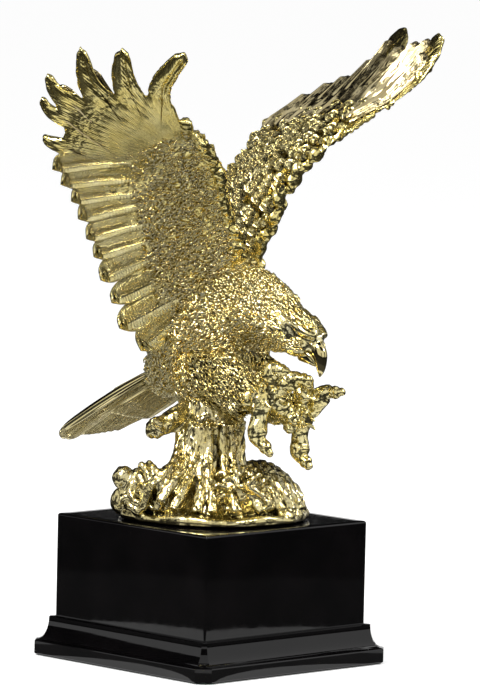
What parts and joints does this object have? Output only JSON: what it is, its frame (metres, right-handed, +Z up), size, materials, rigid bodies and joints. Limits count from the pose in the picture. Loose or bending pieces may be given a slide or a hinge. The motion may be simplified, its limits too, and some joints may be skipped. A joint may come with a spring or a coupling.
{
  "type": "eagle statuette",
  "caption": "Gold-plated cast eagle with raised wings striking with its feet, on a tree stump fixed to a black moulded square plinth.",
  "frame": {"origin": "centre of the plinth's underside, on the surface that it stands on", "axes": "+Z up, -Y the way the bird looks, +X toward the bird's left wing"},
  "size_m": [0.2424, 0.2006, 0.3425],
  "materials": {
    "gold_plate": "bright plated casting, polished on the high places and darker in the folds",
    "plinth_gloss": "black high gloss lacquer",
    "felt": "dark pressed felt",
    "plate_steel": "rolled steel plate",
    "fastener_steel": "bright zinc plated",
    "pin_steel": "drawn steel pin",
    "insert_brass": "turned brass"
  },
  "bodies": {
    "root": {"felt_pad": "felt", "base_plate": "plate_steel", "plinth_skirt": "plinth_gloss", "plinth_box": "plinth_gloss", "plate_screw_1": "fastener_steel", "plate_screw_2": "fastener_steel", "plate_screw_3": "fastener_steel", "plate_screw_4": "fastener_steel", "backing_plate": "plate_steel", "rod_washer": "fastener_steel", "rod_nut": "fastener_steel", "clamp_rod": "fastener_steel", "stump_insert": "insert_brass", "tree_stump": "gold_plate", "stump_cross_pin": "pin_steel", "eagle_body": "gold_plate", "right_wing": "gold_plate", "left_wing": "gold_plate", "right_wing_pin_front": "pin_steel", "right_wing_pin_rear": "pin_steel", "left_wing_pin_front": "pin_steel", "left_wing_pin_rear": "pin_steel", "tail_fan": "gold_plate", "tail_pin": "pin_steel", "right_foot": "gold_plate", "left_foot": "gold_plate", "right_foot_pin": "pin_steel", "left_foot_pin": "pin_steel"}
  },
  "joints": []
}
